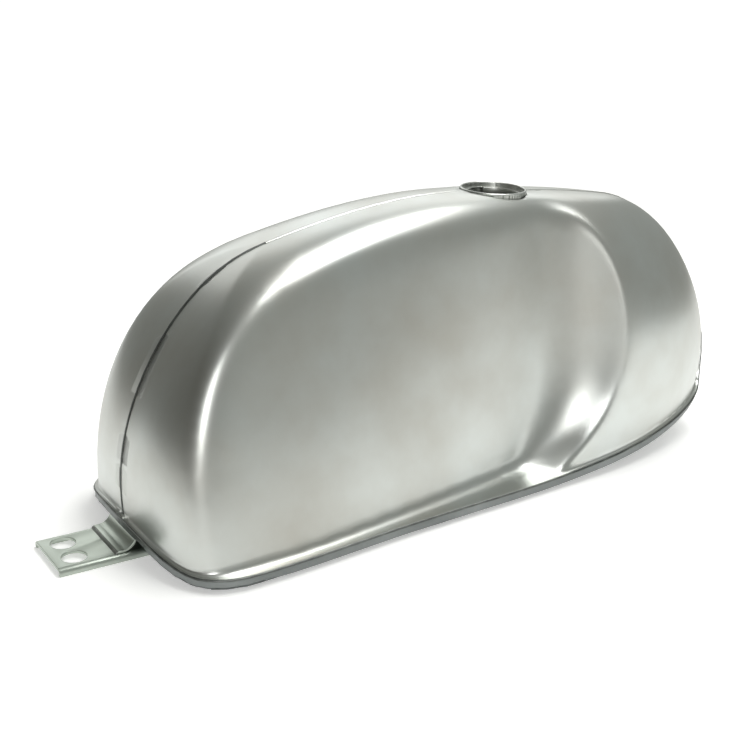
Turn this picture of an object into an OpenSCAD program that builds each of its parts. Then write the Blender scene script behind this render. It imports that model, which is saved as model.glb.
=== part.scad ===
// Pressed-steel motorcycle fuel tank with a frame tunnel and a rear mounting bracket.
// x runs forward from the rear of the tank, y to the rider's left, z up. Millimetres.

/* [Body outline] */
// Length of the tank body from its rear wall to its nose, at the rim
body_len = 556; // [480:1:640]
// Half width of the body near its rear corners
rear_half_w = 112; // [95:1:130]
// Half width of the body at the front of the knee panels
nose_half_w = 81; // [70:1:100]
// How much the sides draw in between the rear corners and the flare
side_waist = 3; // [0:0.5:6]
// Length of the rounded rear corners, seen from above
rear_corner = 62; // [45:1:80]
// Length of the rounded nose, seen from above
nose_corner = 168; // [120:1:200]

/* [Crown line] */
// Height above the rim at which the rear wall turns into the crown
crown_rear = 164; // [130:1:190]
// Height of the crown above the rim, behind the highest point
crown_back = 206; // [170:1:230]
// Height of the crown above the rim at its highest point
crown_top = 227; // [190:1:260]
// Height of the crown above the rim at the filler
crown_filler = 219; // [185:1:250]
// Height of the crown above the rim at the nose shoulder
crown_nose = 200; // [160:1:230]

/* [Knee panel] */
// Half width between the knee panels at the rim, near the rear
panel_half_w = 112; // [95:1:125]
// Where the panels start to run inward, from the rear wall
panel_start = 80; // [40:1:120]
// How far the panels run inward for each millimetre forward
panel_taper = 0.21; // [0.1:0.01:0.26]
// Front edge of the panels, where the hollow flare ends, from the rear wall
flare_edge = 405; // [385:1:415]
// How far that edge falls back at the rim
flare_fall = 58; // [40:1:65]
// Length of the hollow flare behind the edge
flare_len = 62; // [40:1:75]
// How far the flare comes out over that length
flare_depth = 44; // [30:1:55]
// Inward lean of the panels at the rear, in millimetres for each millimetre of height
lean_rear = 0.25; // [0.1:0.01:0.3]
// Inward lean of the panels at the front
lean_front = 0.09; // [0.02:0.01:0.2]
// Width over which the panel edge blends into the shoulder
edge_blend = 18; // [8:1:26]
// Width over which the flare's front edge blends into the shoulder
front_blend = 8; // [5:1:18]

/* [Sheet and rim] */
// Thickness of the pressed side sheets
wall = 1.2; // [0.8:0.1:2]
// Thickness of the floor pans
floor_t = 1.2; // [0.8:0.1:2]
// Width of the flat ledge round the foot of the side sheets
ledge_w = 3.2; // [2:0.1:6]
// Depth of the turned-down rim of the floor pans
rim_drop = 6.5; // [4:0.5:12]
// How far the rim rises in the middle of the rear wall
rear_lift = 12; // [6:1:18]
// How far the rim rises towards the nose
nose_lift = 33; // [10:1:45]
// Width of the dressed weld bead on the centre seam
seam_w = 3; // [2:0.5:6]
// Height of the dressed weld bead on the centre seam
seam_h = 0.6; // [0.4:0.1:1.5]

/* [Frame tunnel] */
// Half width of the tunnel
tunnel_half_w = 33; // [26:1:40]
// Height of the tunnel roof above the rim at the nose
tunnel_h = 96; // [70:1:115]
// Thickness of the tunnel sheet
tunnel_t = 1.5; // [1:0.1:2.5]

/* [Filler] */
// Distance of the filler from the rear wall
filler_x = 331; // [300:1:350]
// Bore of the filler neck
filler_bore = 51; // [44:0.5:60]
// Thickness of the neck wall
neck_t = 1.6; // [1.2:0.1:2.5]
// Height of the neck lip above the crown
neck_up = 1.6; // [1.2:0.1:8]
// Depth of the neck inside the tank
neck_down = 24; // [16:1:40]
// Forward tilt of the neck
filler_tilt = 3; // [0:0.5:8]
// Inside diameter of the locking ring for the cap
lock_bore = 44; // [38:0.5:48]

/* [Rear bracket] */
// Width of the bracket across its folded sides
bracket_w = 56; // [44:1:62]
// Reach of the bracket behind the rear wall
bracket_reach = 60.6; // [50:0.2:80]
// Length of the bracket under the tank
bracket_in = 78; // [60:1:110]
// Depth of the bracket's folded sides
bracket_d = 6; // [5:0.5:12]
// Thickness of the bracket plate
bracket_t = 2.5; // [2:0.1:4]
// Drop from the side rim to the top of the bracket
bracket_drop = 5.8; // [4:0.2:10]
// Diameter of the two mounting holes
hole_d = 19; // [12:0.5:20]
// Distance between the two mounting holes
hole_pitch = 25; // [21:0.5:30]
// Distance of the holes from the bracket's rear end
hole_edge = 16.4; // [12:0.2:22]
// Width of the upright plate between bracket and rim
upright_w = 51; // [40:1:56]

/* [Fuel tap bosses] */
// Distance of the fuel tap bosses from the rear wall
tap_x = 150; // [110:1:200]
// Distance of the fuel tap bosses from the centre line
tap_y = 66; // [60:1:72]
// Bore of the fuel tap bosses, before the M16 by 1.5 thread is cut
tap_bore = 14.5; // [10:0.5:20]
// Outer diameter of the fuel tap bosses
tap_boss_d = 25; // [24:0.5:32]
// Height of the fuel tap bosses
tap_boss_h = 8; // [6:0.5:9]

/* [Front mounts] */
// Distance of the front mounting cups from the rear wall
cup_x = 425; // [390:1:440]
// Height of the cup's centre above the rim
cup_z = 52; // [40:1:60]
// Width of the slot that takes the rubber buffer
cup_slot = 22; // [16:1:26]
// Thickness of the cup's wall
cup_t = 2; // [1.5:0.1:3]
// Depth of the cup from the tunnel side
cup_depth = 13; // [8:1:16]
// Length of the cup's straight legs
cup_leg = 18; // [8:1:24]

/* [Baffle] */
// Distance of the baffle from the rear wall
baffle_x = 235; // [210:1:260]
// Thickness of the baffle
baffle_t = 1; // [0.8:0.1:1.5]
// Diameter of the baffle's flow holes
baffle_hole = 30; // [16:1:34]

/* [Clearances] */
// Gap between sheets that are welded or lie on each other
sheet_gap = 0.15; // [0.1:0.05:0.4]
// Gap round pieces that pass through a sheet
hole_gap = 0.3; // [0.1:0.05:0.6]

/* [Hidden] */

// Bare sheet, weld metal and bracket colours
sheet_grey = "#b9bebb";
weld_grey = "#8f9290";
bracket_grey = "#a9b0a8";
dark_grey = "#6f7274";

// Shares of the outline given to the rear and nose arcs, and how square each stretch is
rear_share = 0.28;
nose_share = 0.34;
rear_plan = 2.9;
nose_plan = 2.06;
rear_form = [2.07, 2.68];
side_form = [3.14, 2.99];
nose_form = [2.06, 2.38];
// Ends of the ridge that all sections run up to, and the bulge of the walls between rim and crown
ridge_rear = 0.222 * body_len;
ridge_nose = 0.792 * body_len;
waist_start = 0.126 * body_len;
flare_foot = 0.55;
flare_start = flare_edge - flare_fall - flare_foot * flare_len;
side_bulge_rear = -0.066;
side_bulge_nose = 0.16;
wall_bulge = 3.4;

// Smooth step from 0 at a to 1 at b
function sstep(x, a, b) = let (t = min(max((x - a) / (b - a), 0), 1)) t * t * (3 - 2 * t);
function mix(a, b, t) = a + (b - a) * t;
// Zero below 0 and t above it, rounded over r
function ramp(t, r) = (t + sqrt(t * t + r * r)) / 2;
// The smaller of two values, blended over k
function smin(a, b, k) = let (h = min(max(0.5 + 0.5 * (b - a) / k, 0), 1))
    b * (1 - h) + a * h - k * h * (1 - h);
function unit(p) = p / norm(p);

// Crown height over the length, as a smooth curve through its stations
crown_x = [0, 0.22, 0.45, 0.68, 0.88, 1] * body_len;
crown_z = [crown_rear, crown_back, crown_top, crown_filler, crown_nose, crown_nose - 0.042 * body_len];
function slope(i) = let (a = max(i - 1, 0), b = min(i + 1, 5))
    (crown_z[b] - crown_z[a]) / (crown_x[b] - crown_x[a]);
function crown(x) = let (
    c = min(max(x, 0), body_len),
    i = max([for (k = [0:4]) crown_x[k] <= c ? k : 0]),
    h = crown_x[i + 1] - crown_x[i],
    t = (c - crown_x[i]) / h)
    (2 * t ^ 3 - 3 * t ^ 2 + 1) * crown_z[i] + (t ^ 3 - 2 * t ^ 2 + t) * h * slope(i)
    + (3 * t ^ 2 - 2 * t ^ 3) * crown_z[i + 1] + (t ^ 3 - t ^ 2) * h * slope(i + 1);

// Front edge of the knee panel at height z, and how strongly the flare is drawn out there
function edge_x(z) = flare_edge - flare_fall * exp(-max(z, 0) / 30);
function flare_size(z) = flare_len * mix(flare_foot, 1, 1 - exp(-max(z, 0) / 18));
// Half width of the knee panel at length x and height z
function panel(x, z) = let (
    size = flare_size(z),
    hollow = max(x - edge_x(z) + size, 0) / size,
    lean = mix(lean_rear, lean_front, sstep(x, 0.1 * body_len, 0.6 * body_len)))
    panel_half_w - panel_taper * ramp(x - panel_start, 28) + flare_depth * hollow ^ 2 - lean * z;
function panel_blend(x, z) = mix(edge_blend, front_blend, sstep(x, edge_x(z) - 45, edge_x(z) - 12));

// Plan outline at the rim: u runs 0 at the rear centre, along the side, to 1 at the nose
function outline(u) = let (
    a = min(u / rear_share, 1) * 90,
    b = max((u - 1 + nose_share) / nose_share, 0) * 90,
    mid = min(max((u - rear_share) / (1 - rear_share - nose_share), 0), 1),
    x = u < rear_share ? rear_corner * (1 - cos(a) ^ (2 / rear_plan))
        : u > 1 - nose_share ? body_len - nose_corner * (1 - sin(b) ^ (2 / nose_plan))
        : mix(rear_corner, body_len - nose_corner, mid),
    w = mix(rear_half_w, nose_half_w, sstep(x, 0, 0.85 * body_len))
        - side_waist * sin(180 * min(max((x - waist_start) / (flare_start - waist_start), 0), 1)) ^ 2,
    f = u < rear_share ? sin(a) ^ (2 / rear_plan)
        : u > 1 - nose_share ? abs(cos(b)) ^ (2 / nose_plan) : 1)
    [x, w * f];
// Height of the rim along the outline
function rim_z(u) = rear_lift * cos(min(u / 0.177, 1) * 90) ^ 2 + nose_lift * sstep(u, 0.576, 1);

// Rounded body before the knee panels are pressed in: v runs 0 at the rim to 1 on the ridge
function body(u, v) = let (
    foot = outline(u),
    g0 = min(max((u - rear_share / 2) / (1 - rear_share / 2 - nose_share / 2), 0), 1),
    ridge = mix(ridge_rear, ridge_nose, 0.6 * sstep(g0, 0, 1) + 0.4 * g0),
    wr = cos(min(u / 0.347, 1) * 90) ^ 2,
    wn = cos(min((1 - u) / 0.359, 1) * 90) ^ 2,
    form = rear_form * wr + nose_form * wn + side_form * (1 - wr - wn),
    rho = v >= 1 ? 0 : cos(v * 90) ^ (2 / form[1]),
    zeta = sin(v * 90) ^ (2 / form[0]),
    bz = 4 * zeta * (1 - zeta),
    x = mix(ridge, foot[0], rho) + wall_bulge * (wn - wr) * bz * rho,
    bulge = mix(side_bulge_rear, side_bulge_nose, sstep(foot[0], 0.45 * body_len, 0.85 * body_len)),
    y = foot[1] * rho * (1 + bulge * bz),
    z0 = rim_z(u),
    z = z0 + zeta * (crown(x) - z0))
    [x, y < 0.01 || u <= 0 || u >= 1 || v >= 1 ? 0 : y, z];
// Outer face of the left side
function skin(u, v) = let (p = body(u, v), x = p[0], z = p[2])
    [x, p[1] == 0 ? 0 : smin(p[1], panel(x, z), panel_blend(x, z)), z];

// Meshing of a side: rows up the wall and columns round the outline
rows = 24;
arch_steps = 7;
// Tunnel arch: height over the half width, as a share of the roof height
function arch(c) = (1 - abs(c) ^ 3) ^ (1 / 3);
// Opening in the nose that takes the tunnel
notch_w = tunnel_half_w + wall + sheet_gap;
notch_h = tunnel_h + wall + sheet_gap;
function bisect_u(y, a, b, n) = n == 0 ? (a + b) / 2
    : let (m = (a + b) / 2) outline(m)[1] > y ? bisect_u(y, m, b, n - 1) : bisect_u(y, a, m, n - 1);
u_notch = bisect_u(notch_w, 1 - nose_share, 1, 20);
notch_z = rim_z(u_notch);
function notch_edge(y) = y >= notch_w ? notch_z : notch_z + (notch_h - notch_z) * arch(y / notch_w);
// Lowest point of the skin above the notch, as a value of v
function foot_v(u, a = 0, b = 0.8, n = 14) = n == 0 ? (a + b) / 2
    : let (m = (a + b) / 2, p = skin(u, m))
    p[2] > notch_edge(u >= 1 ? 0 : p[1]) ? foot_v(u, a, m, n - 1) : foot_v(u, m, b, n - 1);
function notch_u(y, a, b, n) = n == 0 ? (a + b) / 2
    : let (m = (a + b) / 2)
    skin(m, foot_v(m))[1] > y ? notch_u(y, m, b, n - 1) : notch_u(y, a, m, n - 1);

function spread(a, b, n) = [for (k = [0:n - 1]) a + (b - a) * k / n];
function u_at(x) = rear_share + (1 - rear_share - nose_share)
    * (x - rear_corner) / (body_len - nose_corner - rear_corner);
// Where the front edge of the panel crosses row v; the columns bend to follow it
edge_top = 0.62;
function edge_u(v, a, b, n) = n == 0 ? (a + b) / 2
    : let (m = (a + b) / 2, p = body(m, v))
    panel(p[0], p[2]) > p[1] ? edge_u(v, a, m, n - 1) : edge_u(v, m, b, n - 1);
function edge_at(v) = edge_u(min(v, edge_top), u_flare, 0.85, 18);
u_flare = u_at(flare_start - 20);
u_edge = edge_at(0);
function along_edge(u, v) = let (e = edge_at(v))
    u <= rear_share || u >= u_notch ? u
    : u < u_edge ? rear_share + (u - rear_share) * (e - rear_share) / (u_edge - rear_share)
    : u_notch + (u - u_notch) * (u_notch - e) / (u_notch - u_edge);
side_cols = concat(spread(0, rear_share, 12),
    spread(rear_share, u_flare, 10),
    [for (k = [0:8]) mix(u_flare, u_edge, 1 - (1 - k / 9) ^ 1.5)],
    [for (k = [0:6]) mix(u_edge, 0.7, (k / 7) ^ 1.4)],
    spread(0.7, u_notch, 11));
cols = concat(side_cols, [u_notch],
    [for (k = [1:arch_steps - 1]) notch_u(notch_w * cos(90 * k / arch_steps), u_notch, 1, 14)], [1]);
nc = len(cols) - 1;
i_notch = len(side_cols);

// Rows lie closer together near the rim, where the wall is steep
function row_v(j) = 1 - (1 - (j / rows) ^ 1.7) ^ 1.25;
// Outer points of the left side, column by column, and their outward normals
grid = [for (u = cols) let (v0 = u > u_notch ? foot_v(u) : 0)
    [for (j = [0:rows]) let (v = v0 + (1 - v0) * row_v(j)) skin(along_edge(u, v), v)]];
function raw_normal(i, j) = cross(
    grid[i][min(j + 1, rows)] - grid[i][max(j - 1, 0)],
    grid[min(i + 1, nc)][j] - grid[max(i - 1, 0)][j]);
function on_centre(i, j) = i == 0 || i == nc || j == rows;
function ridge_normal(x) = [crown(x - 1) - crown(x + 1), 0, 2];
function normal(i, j) = let (n = j == rows ? ridge_normal(grid[i][rows][0]) : raw_normal(i, j))
    unit(on_centre(i, j) ? [n[0], 0, n[2]] : n);
normals = [for (i = [0:nc]) [for (j = [0:rows]) normal(i, j)]];
function inner_point(i, j) = let (p = grid[i][j] - wall * normals[i][j])
    [p[0], on_centre(i, j) ? 0 : max(p[1], 0.05), p[2]];

// Rim outline: the plan outline pushed outward by d
function plan_normal(i) = let (
    a = outline(cols[max(i - 1, 0)]),
    b = outline(cols[min(i + 1, nc)]),
    t = b - a)
    i == 0 ? [-1, 0] : i == nc ? [1, 0] : unit([-t[1], t[0]]);
function rim_point(i, d) = let (p = outline(cols[i]) + d * plan_normal(i))
    i == 0 || i == nc ? [p[0], 0] : p;
// Tip of the shell's ledge; round the tunnel opening only a narrow edge is left
function ledge_tip(i) = let (
    p = grid[i][0],
    n = plan_normal(i),
    q = rim_point(i, ledge_w))
    i <= i_notch ? [q[0], q[1], p[2]]
    : [p[0] + n[0] * wall, on_centre(i, 0) ? 0 : p[1] + n[1] * wall, p[2]];
function inner_foot(i) = let (p = grid[i][0], n = plan_normal(i))
    [p[0] - n[0] * wall, on_centre(i, 0) ? 0 : p[1] - n[1] * wall, p[2] - wall];
function lowered(p, d) = [p[0], p[1], p[2] - d];

// Closed skin through a row of equal loops. Point k of a loop faces point m - 1 - k across the
// sheet, so that the ends close as strips
function strip_end(o, m) = [for (k = [0:floor((m - 1) / 2) - 1]) each concat(
    k + 1 == m - 1 - k ? [] : [[o + k, o + k + 1, o + m - 1 - k]],
    k + 1 == m - 2 - k ? [] : [[o + k + 1, o + m - 2 - k, o + m - 1 - k]])];
function flipped(faces) = [for (f = faces) [f[2], f[1], f[0]]];
module loft(loops) {
    m = len(loops[0]);
    last = (len(loops) - 1) * m;
    polyhedron([for (l = loops) each l], concat(
        [for (o = [0:m:last - m]) for (k = [0:m - 1]) let (a = o + k, b = o + (k + 1) % m)
            each [[a + m, b, a], [a + m, b + m, b]]],
        strip_end(0, m), flipped(strip_end(last, m))), convexity = 6);
}

// Places the tank over the origin, with its lowest point at z = 0
neck_r = filler_bore / 2 + neck_t;
rim_weld_r = 0.9;
nose_x = max(concat([for (c = grid) for (p = c) p[0] + seam_h],
    [for (i = [0:nc]) ledge_tip(i)[0] + rim_weld_r + 0.05]));
bracket_top = -bracket_drop;
tap_low = wall + sheet_gap + floor_t + sheet_gap + tap_boss_h;
base_z = max(bracket_drop + bracket_d, tap_low, wall + sheet_gap + rim_drop);
module place() { translate([(bracket_reach - nose_x) / 2, 0, base_z]) children(); }
module right() { mirror([0, 1, 0]) children(); }
module at_filler() { translate([filler_x, 0, crown(filler_x)]) rotate([0, filler_tilt, 0]) children(); }

// Left half of the tank skin, with its ledge and the hole for the filler neck
module half_shell() {
    difference() {
        loft([for (i = [0:nc]) concat([ledge_tip(i)], grid[i],
            [for (j = [rows:-1:1]) inner_point(i, j)],
            [inner_foot(i), lowered(ledge_tip(i), wall)])]);
        at_filler() cylinder(r = neck_r + hole_gap, h = 60, center = true, $fn = 64);
    }
}
module left_shell() { color(sheet_grey) place() half_shell(); }
module right_shell() { color(sheet_grey) place() right() half_shell(); }

// Dressed weld bead that lies on the skin along the centre plane
bead = [[0.5, 0.05], [0.3, 0.75], [0, 1], [-0.3, 0.75], [-0.5, 0.05]];
module seam_bead(path) {
    loft([for (k = path) let (p = grid[k[0]][k[1]], n = normals[k[0]][k[1]])
        [for (b = bead) [p[0] + n[0] * b[1] * seam_h, b[0] * seam_w, p[2] + n[2] * b[1] * seam_h]]]);
}
rear_path = [for (j = [0:rows]) [0, j]];
crown_path = [for (i = [1:nc]) if (grid[i][rows][0] < filler_x - neck_r - 4) [i, rows]];
nose_path = concat([for (i = [0:nc]) if (grid[i][rows][0] > filler_x + neck_r + 4) [i, rows]],
    [for (j = [rows - 1:-1:0]) [nc, j]]);
module rear_seam_weld() { color(weld_grey) place() seam_bead(rear_path); }
module crown_seam_weld() { color(weld_grey) place() seam_bead(crown_path); }
module nose_seam_weld() { color(weld_grey) place() seam_bead(nose_path); }

// Tunnel section: base line along the floor pan's inner edge, roof line and the arch between them
sheet_drop = wall + sheet_gap;
lip = 6.5;
pan_y = tunnel_half_w + sheet_gap;
i_pan = min([for (i = [0:i_notch]) if (outline(cols[i])[1] > pan_y) i]);
function pan_x(i) = mix(lip, outline(cols[i_notch])[0] - 1, (outline(cols[i])[0] - outline(cols[i_pan])[0])
    / (outline(cols[i_notch])[0] - outline(cols[i_pan])[0]));
base_table = [for (i = [i_pan:i_notch]) [pan_x(i), rim_z(cols[i]) - sheet_drop]];
function base_line(x) = lookup(x, base_table);
function roof_line(x) = mix(rear_lift, tunnel_h, max(x, 0) / body_len) - sheet_drop;
function tunnel_z(x, y, t = 0) = base_line(x)
    + (roof_line(x) - base_line(x)) * arch(min(abs(y) / (tunnel_half_w - t), 1)) - t;
arch_c = [for (k = [0:arch_steps]) cos(90 * k / arch_steps)];
stations = 16;
function tunnel_x(k, s) = mix(lip + sheet_gap, grid[i_notch + k][0][0] - 0.5, s / stations);
function tunnel_half(s, t) = [for (k = [0:arch_steps]) let (x = tunnel_x(k, s))
    [x, arch_c[k] * (tunnel_half_w - t), tunnel_z(x, arch_c[k] * (tunnel_half_w - t), t)
        + (k == 0 ? t - floor_t : 0)]];
function across(row) = concat(row, [for (k = [len(row) - 2:-1:0]) [row[k][0], -row[k][1], row[k][2]]]);
function backwards(row) = [for (k = [len(row) - 1:-1:0]) row[k]];
module tunnel() {
    color(sheet_grey) place() loft([for (s = [0:stations])
        concat(across(tunnel_half(s, 0)), backwards(across(tunnel_half(s, tunnel_t))))]);
}

// Floor pan of one side: from its turned-down rim to the foot of the tunnel
function pan_inner(i) = let (z = rim_z(cols[i]) - sheet_drop)
    i < i_pan ? [lip, outline(cols[i])[1], z] : [pan_x(i), pan_y, z];
function rim_depth(u) = rim_drop * (1 - 0.6 * sstep(u, 0.72, 0.9));
function flat_point(q, z) = [q[0], q[1], z];
function pan_loop(i) = let (z = rim_z(cols[i]) - sheet_drop, d = rim_depth(cols[i]),
    tip = rim_point(i, ledge_w), bend = rim_point(i, ledge_w - floor_t), in = pan_inner(i))
    [lowered(in, floor_t), flat_point(bend, z - floor_t), flat_point(bend, z - d),
        flat_point(tip, z - d), flat_point(tip, z), in];
module half_floor() {
    difference() {
        loft([for (i = [0:i_notch]) pan_loop(i)]);
        translate([tap_x, tap_y, -20]) cylinder(d = tap_bore + 2, h = 40, $fn = 48);
    }
}
module left_floor() { color(dark_grey) place() half_floor(); }
module right_floor() { color(dark_grey) place() right() half_floor(); }

// Bead along a path, half round, seated on its flat side
module side_bead(points, dirs, size) {
    loft([for (k = [0:len(points) - 1])
        [for (a = [-90:45:90]) points[k] + size * (dirs[k] * cos(a) + [0, 0, sin(a)])]]);
}
module rim_weld() {
    side_bead([for (i = [0:i_notch]) let (q = rim_point(i, ledge_w + 0.05))
            flat_point(q, rim_z(cols[i]) - wall - sheet_gap / 2)],
        [for (i = [0:i_notch]) let (n = plan_normal(i)) [n[0], i == 0 ? 0 : n[1], 0]], rim_weld_r);
}
module left_rim_weld() { color(weld_grey) place() rim_weld(); }
module right_rim_weld() { color(weld_grey) place() right() rim_weld(); }

// Weld between tunnel foot and floor pan, seen from below
module tunnel_weld() {
    pts = [for (i = [i_pan:i_notch]) let (p = pan_inner(i)) [p[0], tunnel_half_w, p[2] - floor_t - 0.25]];
    loft([for (p = pts) [p + [0, -1.4, 0], p + [0, 0, -1], p + [0, 1.6, 0]]]);
}
module left_tunnel_weld() { color(weld_grey) place() tunnel_weld(); }
module right_tunnel_weld() { color(weld_grey) place() right() tunnel_weld(); }

// Weld round the tunnel's mouth, on the outside of the nose
module nose_arch_weld() {
    row = [for (k = [0:arch_steps]) ledge_tip(i_notch + k) - [0, 0, wall / 2]];
    dirs = [for (k = [0:arch_steps]) let (n = plan_normal(i_notch + k)) [n[0], k == arch_steps ? 0 : n[1], 0]];
    pts = across([for (k = [0:arch_steps]) row[k] + 0.05 * dirs[k]]);
    color(weld_grey) place() side_bead(pts, across(dirs), rim_weld_r);
}

// Filler neck: a tube with a rolled lip, the ring that locks the cap, and the weld under the crown
module filler_neck() {
    lip_r = (neck_t + hole_gap) / 2 - 0.05;
    color(sheet_grey) place() at_filler() rotate_extrude($fn = 96) union() {
        translate([filler_bore / 2, -neck_down]) square([neck_t, neck_down + neck_up - lip_r]);
        translate([filler_bore / 2 + lip_r, neck_up - lip_r]) circle(r = lip_r, $fn = 24);
    }
}
module filler_lock_ring() {
    ring_r = filler_bore / 2 - sheet_gap;
    color(sheet_grey) place() at_filler() translate([0, 0, -4]) difference() {
        union() {
            cylinder(r = ring_r, h = 1.6, $fn = 96);
            translate([0, 0, -5]) cylinder(d = lock_bore + 3, h = 5.5, $fn = 96);
        }
        translate([0, 0, -6]) cylinder(d = lock_bore, h = 9, $fn = 96);
        for (a = [90, 270]) rotate([0, 0, a]) translate([0, -6, -6]) cube([filler_bore / 2 - 1.5, 12, 9]);
    }
}
// Depth at which the weld clears the inside of the curved crown
weld_low = wall + 3.6;
module filler_weld() {
    color(weld_grey) place() at_filler() rotate_extrude($fn = 96)
        polygon([[neck_r + 0.05, -weld_low], [neck_r + 2.6, -weld_low], [neck_r + 0.05, -weld_low - 2.6]]);
}

// Rear bracket: a channel with folded sides that runs under the tank, with two holes behind it
bend_r = bracket_t + 1.5;
module folded_side() {
    half = bracket_w / 2;
    translate([0, half - bend_r, bracket_top - bend_r]) rotate([0, 90, 0]) difference() {
        cylinder(r = bend_r, h = bracket_reach + bracket_in, $fn = 48);
        translate([0, 0, -1]) cylinder(r = bend_r - bracket_t, h = bracket_reach + bracket_in + 2, $fn = 48);
        translate([0, -2 * bend_r, -1]) cube([2 * bend_r, 4 * bend_r, bracket_reach + bracket_in + 2]);
        translate([-2 * bend_r, -2 * bend_r, -1])
            cube([4 * bend_r, 2 * bend_r, bracket_reach + bracket_in + 2]);
    }
    translate([0, half - bracket_t, bracket_top - bracket_d])
        cube([bracket_reach + bracket_in, bracket_t, bracket_d - bend_r]);
}
module rear_bracket() {
    plate_w = bracket_w - 2 * bend_r;
    color(bracket_grey) place() difference() {
        translate([-bracket_reach, 0, 0]) union() {
            translate([0, -plate_w / 2, bracket_top - bracket_t])
                cube([bracket_reach + bracket_in, plate_w, bracket_t]);
            folded_side();
            right() folded_side();
        }
        for (s = [-1, 1]) translate([hole_edge - bracket_reach, s * hole_pitch / 2, bracket_top - bracket_t - 1])
            cylinder(d = hole_d, h = bracket_t + 2, $fn = 64);
    }
}

// Upright: a bent plate that stands on the bracket and meets the underside of the rim
upright_t = 2;
upright_bend = 10;
upright_x = -ledge_w + floor_t + sheet_gap + 0.5;
upright_top = rear_lift - sheet_drop - floor_t - sheet_gap - 0.6;
foot_len = 4;
module bracket_upright() {
    z0 = bracket_top + sheet_gap;
    arc_x = upright_x - upright_bend;
    arc_z = z0 + upright_t + upright_bend;
    color(bracket_grey) place() translate([0, upright_w / 2, 0]) rotate([90, 0, 0])
        linear_extrude(upright_w) union() {
            intersection() {
                translate([arc_x, arc_z]) difference() {
                    circle(r = upright_bend + upright_t, $fn = 96);
                    circle(r = upright_bend, $fn = 96);
                }
                translate([arc_x, z0 - 1]) square([upright_bend + upright_t + 1, arc_z - z0 + 1]);
            }
            translate([upright_x, arc_z - 0.01]) square([upright_t, upright_top - arc_z + 0.01]);
            translate([arc_x - foot_len, z0]) square([foot_len + 0.01, upright_t]);
        }
}
// Plates that tie the bracket to the roof of the tunnel, one on each side
gusset_y = 15;
gusset_t = 2.5;
module gusset() {
    x0 = lip + 2.5;
    x1 = bracket_in - 14;
    steps = 5;
    tops = [for (k = [steps:-1:0]) let (x = mix(x0, x1, k / steps))
        [x, tunnel_z(x, gusset_y + gusset_t, tunnel_t) - sheet_gap - hole_gap]];
    translate([0, gusset_y + gusset_t, 0]) rotate([90, 0, 0]) linear_extrude(gusset_t)
        polygon(concat([[x0, bracket_top + sheet_gap], [x1, bracket_top + sheet_gap]], tops));
}
module left_gusset() { color(bracket_grey) place() gusset(); }
module right_gusset() { color(bracket_grey) place() right() gusset(); }
module bracket_weld() {
    x = upright_x - upright_bend - foot_len - 0.05;
    z = bracket_top + 0.05;
    color(weld_grey) place() translate([0, upright_w / 2, 0]) rotate([90, 0, 0])
        linear_extrude(upright_w) polygon([[x, z], [x, z + 1.8], [x - 0.9, z + 1.3], [x - 2, z]]);
}

// Fuel tap bosses below the floor pans, each with a ring of weld
floor_low = -sheet_drop - floor_t - sheet_gap;
module tap_boss() {
    translate([tap_x, tap_y, floor_low - tap_boss_h]) difference() {
        cylinder(d = tap_boss_d, h = tap_boss_h, $fn = 64);
        translate([0, 0, -1]) cylinder(d = tap_bore, h = tap_boss_h + 2, $fn = 64);
    }
}
module tap_weld() {
    translate([tap_x, tap_y, floor_low]) rotate_extrude($fn = 64)
        polygon([[tap_boss_d / 2 + 0.05, 0], [tap_boss_d / 2 + 2.2, 0], [tap_boss_d / 2 + 0.05, -2.2]]);
}
module left_tap_boss() { color(bracket_grey) place() tap_boss(); }
module right_tap_boss() { color(bracket_grey) place() right() tap_boss(); }
module left_tap_weld() { color(weld_grey) place() tap_weld(); }
module right_tap_weld() { color(weld_grey) place() right() tap_weld(); }

// Front mounting cup: an open-ended slot on the tunnel's inner side that slides over a rubber buffer
module front_cup() {
    r = cup_slot / 2;
    low = tunnel_half_w - tunnel_t - cup_depth;
    intersection() {
        translate([cup_x, low, cup_z]) rotate([-90, 0, 0]) linear_extrude(cup_depth + 6) difference() {
            union() {
                circle(r = r + cup_t, $fn = 64);
                translate([0, -r - cup_t]) square([cup_leg, 2 * (r + cup_t)]);
            }
            circle(r = r, $fn = 64);
            translate([0, -r]) square([cup_leg + 1, 2 * r]);
        }
        translate([cup_x - r - 5, 0, 0]) rotate([90, 0, 90]) linear_extrude(cup_leg + r + 12)
            polygon([for (k = [0:arch_steps]) let (
                y = arch_c[k] * (tunnel_half_w - tunnel_t - sheet_gap))
                [y, tunnel_z(cup_x - r, y, tunnel_t + sheet_gap)], [0, 0], [tunnel_half_w - tunnel_t - sheet_gap, 0]]);
    }
}
module left_front_cup() { color(bracket_grey) place() front_cup(); }
module right_front_cup() { color(bracket_grey) place() right() front_cup(); }

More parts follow.
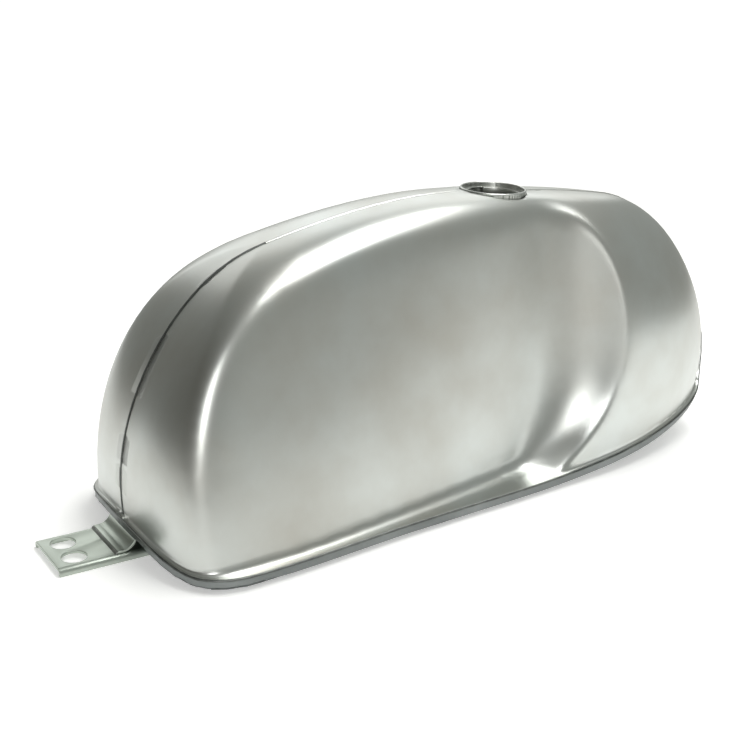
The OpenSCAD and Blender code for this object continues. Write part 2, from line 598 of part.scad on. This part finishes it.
// Baffle across the tank, sitting astride the tunnel, with flow holes
function u_for_x(x, v, a, b, n) = n == 0 ? (a + b) / 2
    : let (m = (a + b) / 2) skin(m, v)[0] < x ? u_for_x(x, v, m, b, n - 1) : u_for_x(x, v, a, m, n - 1);
baffle_inset = wall + 1.6;
module baffle() {
    floor_z = -sheet_drop + sheet_gap;
    heart = [0, crown_top * 0.45];
    side = concat([[skin(u_for_x(baffle_x, 0, 0, 1, 16), 0)[1] - baffle_inset, floor_z]],
        [for (j = [1:rows]) let (p = skin(u_for_x(baffle_x, j / rows, 0, 1, 16), j / rows),
            q = [p[1], p[2]], r = q - baffle_inset * unit(q - heart)) r]);
    over = [for (k = [0:arch_steps]) let (y = arch_c[k] * (tunnel_half_w + 1))
        [y, k == 0 ? floor_z : tunnel_z(baffle_x, y * tunnel_half_w / (tunnel_half_w + 1)) + 1]];
    function mirrored(row) = [for (q = row) [-q[0], q[1]]];
    color(sheet_grey) place() translate([baffle_x, 0, 0]) rotate([90, 0, 90]) linear_extrude(baffle_t)
        difference() {
            polygon(concat(side, [for (j = [rows - 1:-1:0]) mirrored(side)[j]],
                mirrored(over), [for (k = [arch_steps - 1:-1:0]) over[k]]));
            for (s = [-1, 1]) {
                translate([s * 62, 45]) circle(d = baffle_hole, $fn = 48);
                translate([s * 42, 130]) circle(d = baffle_hole, $fn = 48);
            }
        }
}

right_shell();
left_shell();
rear_seam_weld();
crown_seam_weld();
nose_seam_weld();
right_floor();
left_floor();
right_rim_weld();
left_rim_weld();
tunnel();
right_tunnel_weld();
left_tunnel_weld();
nose_arch_weld();
filler_neck();
filler_lock_ring();
filler_weld();
rear_bracket();
bracket_upright();
right_gusset();
left_gusset();
bracket_weld();
right_tap_boss();
left_tap_boss();
right_tap_weld();
left_tap_weld();
right_front_cup();
left_front_cup();
baffle();
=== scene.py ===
import math

import bmesh
import bpy
from mathutils import Euler, Matrix, Vector


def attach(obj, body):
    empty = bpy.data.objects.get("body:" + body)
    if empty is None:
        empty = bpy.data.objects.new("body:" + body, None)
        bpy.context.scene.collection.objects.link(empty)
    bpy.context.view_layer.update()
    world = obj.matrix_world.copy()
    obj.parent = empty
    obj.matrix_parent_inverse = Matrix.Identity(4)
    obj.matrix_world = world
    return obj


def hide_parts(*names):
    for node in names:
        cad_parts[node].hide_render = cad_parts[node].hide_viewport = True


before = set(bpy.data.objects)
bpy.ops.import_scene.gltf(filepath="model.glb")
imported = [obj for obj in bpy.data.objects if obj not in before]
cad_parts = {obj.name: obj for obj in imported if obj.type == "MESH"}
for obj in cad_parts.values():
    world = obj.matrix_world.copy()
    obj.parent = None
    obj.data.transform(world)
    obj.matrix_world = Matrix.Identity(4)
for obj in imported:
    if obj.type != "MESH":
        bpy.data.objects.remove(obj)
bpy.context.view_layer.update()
scene = bpy.context.scene
MM = 0.001

# ---------------------------------------------------------------- camera
# A short telephoto lens, low and to the rear right of the tank, so that the bracket,
# the rear wall and the whole right flank show.
camera_place = Vector((-0.5683, -0.8985, 0.4803))
camera_turn = math.radians(-31.116)
camera_drop = math.radians(19.841)
camera_roll = math.radians(0.38)
camera_data = bpy.data.cameras.new("camera")
camera_data.sensor_width = 36
camera_data.lens = 66.16
camera_data.shift_x = 0.0002
camera_data.shift_y = -0.01
camera = bpy.data.objects.new("camera", camera_data)
aim = Euler((math.pi / 2 - camera_drop, 0, camera_turn)).to_matrix()
camera.matrix_world = Matrix.Translation(camera_place) @ (
    aim @ Matrix.Rotation(camera_roll, 3, "Z")
).to_4x4()
scene.collection.objects.link(camera)
scene.camera = camera
scene.view_settings.view_transform = "Standard"


# ---------------------------------------------------------------- studio
# A pale table under the tank and a grey room, darker towards the rear of the tank, that
# the bare metal mirrors. A long soft box hangs overhead, a wide light stands beyond the
# tank and a tall narrow one to the rear right.
def linear(code):
    """sRGB hex to linear colour with alpha."""
    channels = [int(code[i : i + 2], 16) / 255 for i in (1, 3, 5)]
    return [
        c / 12.92 if c <= 0.04045 else ((c + 0.055) / 1.055) ** 2.4 for c in channels
    ] + [1]


def add(tree, kind, inputs=(), **settings):
    """Adds a node; inputs pairs a socket with a value or with another node's output."""
    node = tree.nodes.new(kind)
    for name, value in settings.items():
        setattr(node, name, value)
    for name, value in dict(inputs).items():
        if isinstance(value, bpy.types.NodeSocket):
            tree.links.new(value, node.inputs[name])
        else:
            node.inputs[name].default_value = value
    return node


world = bpy.data.worlds.new("studio")
world.use_nodes = True
sky = world.node_tree
sky.nodes.clear()
seen = add(sky, "ShaderNodeLightPath").outputs["Is Camera Ray"]
way = add(sky, "ShaderNodeTexCoord").outputs["Generated"]
forward = add(sky, "ShaderNodeSeparateXYZ", {"Vector": way}).outputs["X"]
share = add(
    sky, "ShaderNodeMapRange", {"Value": forward, "From Min": -0.85, "From Max": 0.25}
)
walls = add(sky, "ShaderNodeValToRGB", {"Fac": share.outputs["Result"]})
walls.color_ramp.elements[0].color = linear("#6a6964")
walls.color_ramp.elements[1].color = linear("#b0b3af")
room = add(
    sky, "ShaderNodeBackground", {"Color": walls.outputs["Color"], "Strength": 0.85}
)
paper = add(sky, "ShaderNodeBackground", {"Color": linear("#ffffff"), "Strength": 1.05})
either = add(
    sky, "ShaderNodeMixShader", {0: seen, 1: room.outputs[0], 2: paper.outputs[0]}
)
add(sky, "ShaderNodeOutputWorld", {"Surface": either.outputs[0]})
scene.world = world


def soft_box(name, place, target, size, watts):
    """A rectangular light at place, turned to face target; size is width and height."""
    data = bpy.data.lights.new(name, "AREA")
    data.shape = "RECTANGLE"
    data.size, data.size_y = size
    data.energy = watts
    light = bpy.data.objects.new(name, data)
    light.location = place
    look = Vector(target) - Vector(place)
    light.rotation_euler = look.to_track_quat("-Z", "Y").to_euler()
    scene.collection.objects.link(light)


soft_box("overhead_box", (0.35, -0.1, 1.45), (0, 0, 0.2), (1.5, 0.6), 17)
soft_box("far_wall_light", (0.9, 2.3, 1.3), (0, 0, 0.2), (3.2, 1.2), 14)
soft_box("window_panel", (-1.2, -1.6, 0.9), (0, 0, 0.15), (0.35, 0.9), 9)

table_radius = 1.25
bpy.ops.mesh.primitive_circle_add(
    vertices=96, radius=table_radius, fill_type="NGON", location=(0, 0, 0)
)
table = bpy.context.object
table.name = "table"
table_paint = bpy.data.materials.new("matt_white_table")
table_paint.use_nodes = True
table_shader = table_paint.node_tree.nodes["Principled BSDF"]
table_shader.inputs["Base Color"].default_value = linear("#f4f4f2")
table_shader.inputs["Roughness"].default_value = 0.9
table_shader.inputs["Emission Color"].default_value = linear("#ffffff")
table_shader.inputs["Emission Strength"].default_value = 0.36
table.data.materials.append(table_paint)


# ---------------------------------------------------------------- side sheets
# Two deep-drawn sheets of 1.2 mm steel, welded on the centre line into one skin. The
# outer faces of both halves are kept, made one surface, smoothed and given their wall.
def only(obj):
    """Selects one object alone and makes it active."""
    bpy.ops.object.select_all(action="DESELECT")
    obj.select_set(True)
    bpy.context.view_layer.objects.active = obj


def copy_of(name, nodes):
    """New objects with copies of CAD nodes' meshes, their doubled vertices merged."""
    copies = []
    for node in nodes:
        copy = bpy.data.objects.new(name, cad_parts[node].data.copy())
        copy.data.materials.clear()
        scene.collection.objects.link(copy)
        only(copy)
        bpy.ops.object.mode_set(mode="EDIT")
        bpy.ops.mesh.select_all(action="SELECT")
        bpy.ops.mesh.remove_doubles(threshold=0.01 * MM)
        bpy.ops.object.mode_set(mode="OBJECT")
        copies.append(copy)
    return copies


def joined(name, parts):
    """Joins objects into the first and names it."""
    only(parts[0])
    for part in parts[1:]:
        part.select_set(True)
    bpy.ops.object.join()
    parts[0].name = name
    parts[0].data.name = name
    return parts[0]


def select_faces(obj, keep):
    """In edit mode, selects the faces for which keep(face) is true."""
    mesh = bmesh.from_edit_mesh(obj.data)
    for face in mesh.faces:
        face.select_set(bool(keep(face)))
    mesh.select_flush_mode()
    bmesh.update_edit_mesh(obj.data)


def select_sheet(obj, seed, fold=50):
    """Selects the faces reached from the seed without turning an outer edge."""
    mesh = bmesh.from_edit_mesh(obj.data)
    first = max(mesh.faces, key=seed)
    reached = {first}
    ahead = [first]
    while ahead:
        face = ahead.pop()
        for edge in face.edges:
            if edge.calc_face_angle_signed(math.pi) > math.radians(fold):
                continue
            for other in edge.link_faces:
                if other not in reached:
                    reached.add(other)
                    ahead.append(other)
    select_faces(obj, lambda face: face in reached)


def apply_all(obj):
    """Applies every modifier of an object."""
    only(obj)
    for modifier in list(obj.modifiers):
        bpy.ops.object.modifier_apply(modifier=modifier.name)


def outward_and_high(face):
    """Largest on the middle of a flank's outer face."""
    centre = face.calc_center_median()
    return centre.y * face.normal.y * centre.z


sheet_wall = 1.2 * MM
halves = copy_of("tank_skin", ["right_shell", "left_shell"])
for half in halves:
    only(half)
    bpy.ops.object.mode_set(mode="EDIT")
    select_sheet(half, outward_and_high)
    bpy.ops.mesh.select_all(action="INVERT")
    bpy.ops.mesh.delete(type="FACE")
    bpy.ops.object.mode_set(mode="OBJECT")
skin = joined("tank_skin", halves)
bpy.ops.object.mode_set(mode="EDIT")
bpy.ops.mesh.select_all(action="SELECT")
bpy.ops.mesh.remove_doubles(threshold=0.02 * MM)
bpy.ops.mesh.tris_convert_to_quads(
    face_threshold=math.radians(50), shape_threshold=math.radians(60)
)
bpy.ops.object.mode_set(mode="OBJECT")
finer = skin.modifiers.new("finer", "SUBSURF")
finer.levels = finer.render_levels = 1
wall = skin.modifiers.new("wall", "SOLIDIFY")
wall.thickness = sheet_wall
wall.offset = -1
apply_all(skin)
bpy.ops.object.shade_smooth_by_angle(angle=math.radians(40))


def metal(name, light, dark, rough, grain, wave=0.0, blotch=9):
    """Bare steel: cloudy greys, uneven polish and the fine lines of a sanding belt.

    grain and wave are the depths of the lines and of the ripples in millimetres, and
    blotch is the scale of the clouds.
    """
    paint = bpy.data.materials.new(name)
    paint.use_nodes = True
    tree = paint.node_tree
    shader = tree.nodes["Principled BSDF"]
    shader.inputs["Metallic"].default_value = 1
    place = add(tree, "ShaderNodeTexCoord").outputs["Object"]
    clouds = add(
        tree,
        "ShaderNodeTexNoise",
        {"Vector": place, "Scale": blotch, "Detail": 5, "Roughness": 0.55},
    )
    tone = add(tree, "ShaderNodeValToRGB", {"Fac": clouds.outputs["Fac"]})
    tone.color_ramp.elements[0].position = 0.3
    tone.color_ramp.elements[0].color = linear(dark)
    tone.color_ramp.elements[1].position = 0.7
    tone.color_ramp.elements[1].color = linear(light)
    tree.links.new(tone.outputs["Color"], shader.inputs["Base Color"])
    polish = add(
        tree,
        "ShaderNodeMapRange",
        {"Value": clouds.outputs["Fac"], "From Min": 0.3, "From Max": 0.7,
         "To Min": rough + 0.04, "To Max": rough - 0.03},
    )
    tree.links.new(polish.outputs["Result"], shader.inputs["Roughness"])
    belt = add(
        tree, "ShaderNodeMapping", {"Vector": place, "Scale": (60, 700, 700)}
    )
    lines = add(
        tree,
        "ShaderNodeTexNoise",
        {"Vector": belt.outputs["Vector"], "Scale": 1.5, "Detail": 3},
    )
    relief = add(
        tree,
        "ShaderNodeBump",
        {"Strength": 1, "Distance": grain * MM, "Height": lines.outputs["Fac"]},
    )
    if wave:
        ripple = add(
            tree,
            "ShaderNodeTexNoise",
            {"Vector": place, "Scale": 14, "Detail": 1.5},
        )
        relief = add(
            tree,
            "ShaderNodeBump",
            {"Strength": 1, "Distance": wave * MM, "Height": ripple.outputs["Fac"],
             "Normal": relief.outputs["Normal"]},
        )
    tree.links.new(relief.outputs["Normal"], shader.inputs["Normal"])
    return paint


sheet_steel = metal("satin_bare_sheet_steel", "#cdd1ce", "#bab9b2", 0.33, 0.008, 0.4)
skin.data.materials.append(sheet_steel)
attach(skin, "root")
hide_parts("right_shell", "left_shell")


# ---------------------------------------------------------------- centre seams
# Butt welds between the two sheets, ground down to low beads: dark and thin on the rear
# wall, dressed almost away along the crown and down the nose.
def piece(name, nodes, paint, edge=0.0):
    """Rebuilds CAD nodes as one piece with flat faces, rounded edges and a finish."""
    obj = joined(name, copy_of(name, nodes))
    bpy.ops.object.mode_set(mode="EDIT")
    bpy.ops.mesh.select_all(action="SELECT")
    bpy.ops.mesh.dissolve_limited(angle_limit=math.radians(0.5))
    bpy.ops.object.mode_set(mode="OBJECT")
    if edge:
        bevel = obj.modifiers.new("edges", "BEVEL")
        bevel.limit_method = "ANGLE"
        bevel.angle_limit = math.radians(35)
        bevel.width = edge * MM
        bevel.segments = 3
    apply_all(obj)
    bpy.ops.object.shade_smooth_by_angle(angle=math.radians(30))
    obj.data.materials.append(paint)
    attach(obj, "root")
    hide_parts(*nodes)
    return obj


dark_weld = metal("dull_weld_line", "#6d706d", "#4a4d4b", 0.5, 0.03, 0.0, 90)
piece("rear_seam", ["rear_seam_weld"], dark_weld)
piece("crown_seam", ["crown_seam_weld"], sheet_steel)
piece("nose_seam", ["nose_seam_weld"], sheet_steel)

# ---------------------------------------------------------------- floor pans
# Two pressed pans of 1.2 mm steel that close the skin below. Their turned-down rims are
# lightly dented at the rear corners, where they were hammered over.
# The pans are the same steel as the skin, but their greys are much darker: painted
# shade for the band under the flanks' ledge.
pan_steel_painted_shade = metal("dull_pan_steel_painted_shade", "#8d9190", "#6d7170", 0.42, 0.01, 0.3)
floors = piece(
    "floor_pans", ["right_floor", "left_floor"], pan_steel_painted_shade, 0.3
)
corner_x, corner_y = -0.235, 0.09
dent_fade = 0.04
hammered = floors.vertex_groups.new(name="hammered")
for vertex in floors.data.vertices:
    away = math.hypot(vertex.co.x - corner_x, abs(vertex.co.y) - corner_y)
    near = max(0, min(1, 1.8 - away / dent_fade))
    if near:
        hammered.add([vertex.index], near, "REPLACE")
dense = floors.modifiers.new("dense", "SUBSURF")
dense.subdivision_type = "SIMPLE"
dense.levels = dense.render_levels = 2
blows = bpy.data.textures.new("hammer_blows", "CLOUDS")
blows.noise_scale = 0.009
dents = floors.modifiers.new("dents", "DISPLACE")
dents.texture = blows
dents.vertex_group = "hammered"
dents.strength = -2.4 * MM
dents.mid_level = 0
apply_all(floors)

# The rim welds are given darker greys than the other welds: painted shade for the band
# under the flanks' ledge.
rim_weld_steel_painted_shade = metal("rim_weld_metal_painted_shade", "#7d807d", "#565957", 0.42, 0.03, 0.0, 70)
piece(
    "rim_welds",
    ["right_rim_weld", "left_rim_weld", "nose_arch_weld"],
    rim_weld_steel_painted_shade,
)

# ---------------------------------------------------------------- frame tunnel
# One arched sheet of 1.5 mm steel for the frame's backbone, welded to both pans.
weld_steel = metal("weld_metal", "#b5b8b4", "#8c8f8b", 0.4, 0.02, 0.0, 60)
piece("frame_tunnel", ["tunnel"], sheet_steel)
piece(
    "tunnel_welds", ["right_tunnel_weld", "left_tunnel_weld"], weld_steel
)

# ---------------------------------------------------------------- filler
# A turned neck with a rolled lip, the ring with two slots that locks the cap, and the
# weld that holds the neck under the crown.
piece("neck", ["filler_neck"], sheet_steel)
piece("lock_ring", ["filler_lock_ring"], sheet_steel, 0.25)
piece("neck_weld", ["filler_weld"], weld_steel)

# ---------------------------------------------------------------- rear bracket
# A channel folded from 2.5 mm plate with two punched holes, a bent upright welded on it
# and two tie plates inside the tunnel, all in zinc-grey plate with broken edges.
plate_steel = metal("zinc_grey_plate", "#b9c1b7", "#a3aba2", 0.36, 0.01)
piece("channel", ["rear_bracket"], plate_steel, 0.5)
piece("upright", ["bracket_upright"], plate_steel, 0.4)
piece("tie_plates", ["right_gusset", "left_gusset"], plate_steel, 0.4)
piece("upright_weld", ["bracket_weld"], weld_steel, 0.2)

# ---------------------------------------------------------------- taps, cups, baffle
# Turned bosses for the fuel taps with their weld rings, pressed cups for the front
# rubbers, and the baffle sheet with its flow holes.
piece(
    "tap_bosses", ["right_tap_boss", "left_tap_boss"], plate_steel, 0.5
)
piece("tap_welds", ["right_tap_weld", "left_tap_weld"], weld_steel)
piece(
    "front_cups", ["right_front_cup", "left_front_cup"], plate_steel, 0.4
)
piece("baffle_sheet", ["baffle"], sheet_steel)
